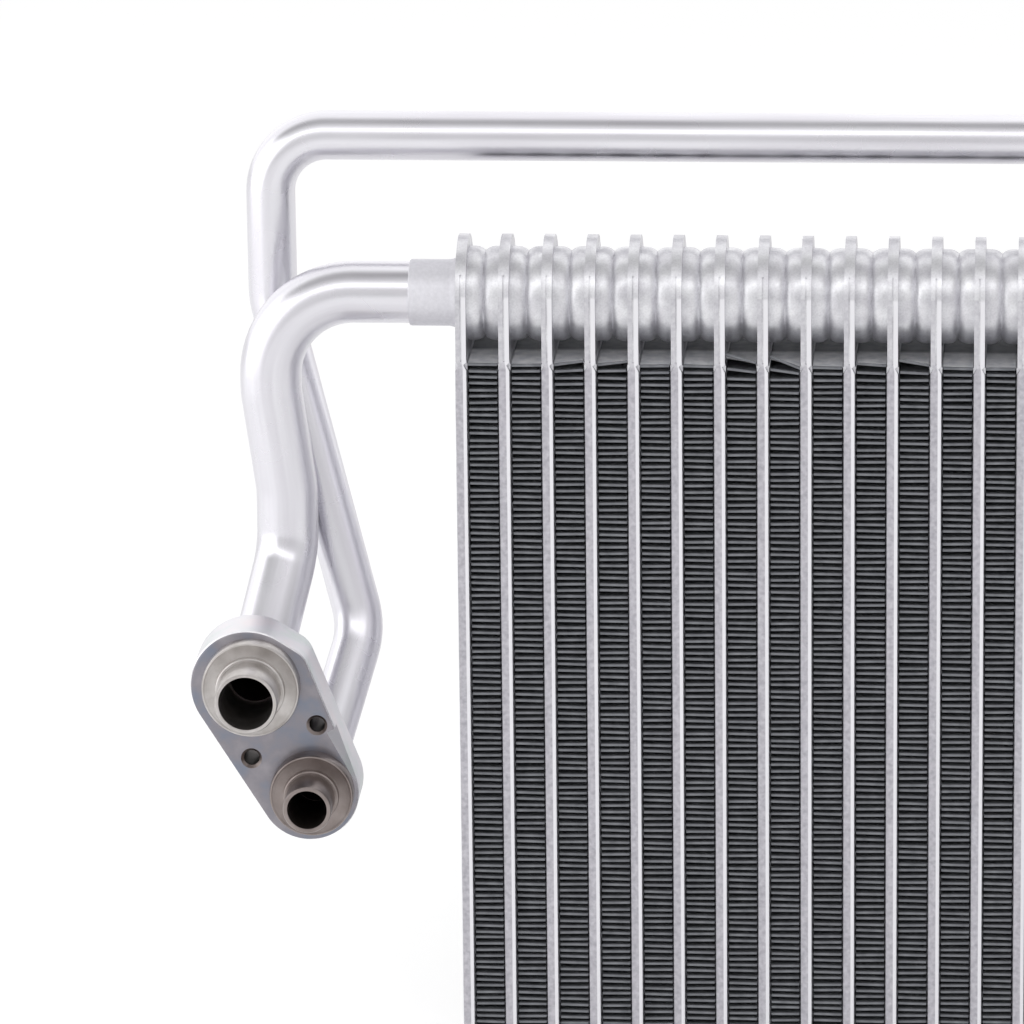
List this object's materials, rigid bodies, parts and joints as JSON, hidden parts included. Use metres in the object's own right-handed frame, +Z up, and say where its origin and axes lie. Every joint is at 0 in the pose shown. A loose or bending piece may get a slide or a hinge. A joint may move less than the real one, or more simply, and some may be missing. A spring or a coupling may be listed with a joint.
{
  "type": "evaporator core",
  "caption": "Plate and fin evaporator core: stacked flat tubes with drawn cups as tanks, folded fins between them, two bent pipes and a two-port connection block.",
  "frame": {"origin": "middle of the bottom face of the centre tube", "axes": "+X along the row of tubes, away from the connection block; +Y in the direction of the air, away from the block's ports; +Z up, along the tubes"},
  "size_m": [0.3638, 0.0948, 0.2612],
  "materials": {
    "plate_aluminium": "matt brazed",
    "fin_aluminium": "dull coated",
    "pipe_aluminium": "satin drawn",
    "collar_aluminium": "matt",
    "block_aluminium": "machined"
  },
  "bodies": {
    "root": {"left_end_plate": "plate_aluminium", "left_half_plate": "plate_aluminium", "tube_01": "plate_aluminium", "tube_02": "plate_aluminium", "tube_03": "plate_aluminium", "tube_04": "plate_aluminium", "tube_05": "plate_aluminium", "tube_06": "plate_aluminium", "tube_07": "plate_aluminium", "tube_08": "plate_aluminium", "tube_09": "plate_aluminium", "tube_10": "plate_aluminium", "tube_11": "plate_aluminium", "tube_12": "plate_aluminium", "tube_13": "plate_aluminium", "tube_14": "plate_aluminium", "tube_15": "plate_aluminium", "tube_16": "plate_aluminium", "tube_17": "plate_aluminium", "tube_18": "plate_aluminium", "tube_19": "plate_aluminium", "tube_20": "plate_aluminium", "tube_21": "plate_aluminium", "tube_22": "plate_aluminium", "tube_23": "plate_aluminium", "fin_01": "fin_aluminium", "fin_02": "fin_aluminium", "fin_03": "fin_aluminium", "fin_04": "fin_aluminium", "fin_05": "fin_aluminium", "fin_06": "fin_aluminium", "fin_07": "fin_aluminium", "fin_08": "fin_aluminium", "fin_09": "fin_aluminium", "fin_10": "fin_aluminium", "fin_11": "fin_aluminium", "fin_12": "fin_aluminium", "fin_13": "fin_aluminium", "fin_14": "fin_aluminium", "fin_15": "fin_aluminium", "fin_16": "fin_aluminium", "fin_17": "fin_aluminium", "fin_18": "fin_aluminium", "fin_19": "fin_aluminium", "fin_20": "fin_aluminium", "fin_21": "fin_aluminium", "fin_22": "fin_aluminium", "fin_23": "fin_aluminium", "fin_24": "fin_aluminium", "right_half_plate": "plate_aluminium", "right_end_plate": "plate_aluminium", "suction_pipe": "pipe_aluminium", "suction_collar": "collar_aluminium", "liquid_pipe": "pipe_aluminium", "liquid_collar": "collar_aluminium", "connection_block": "block_aluminium"}
  },
  "joints": []
}
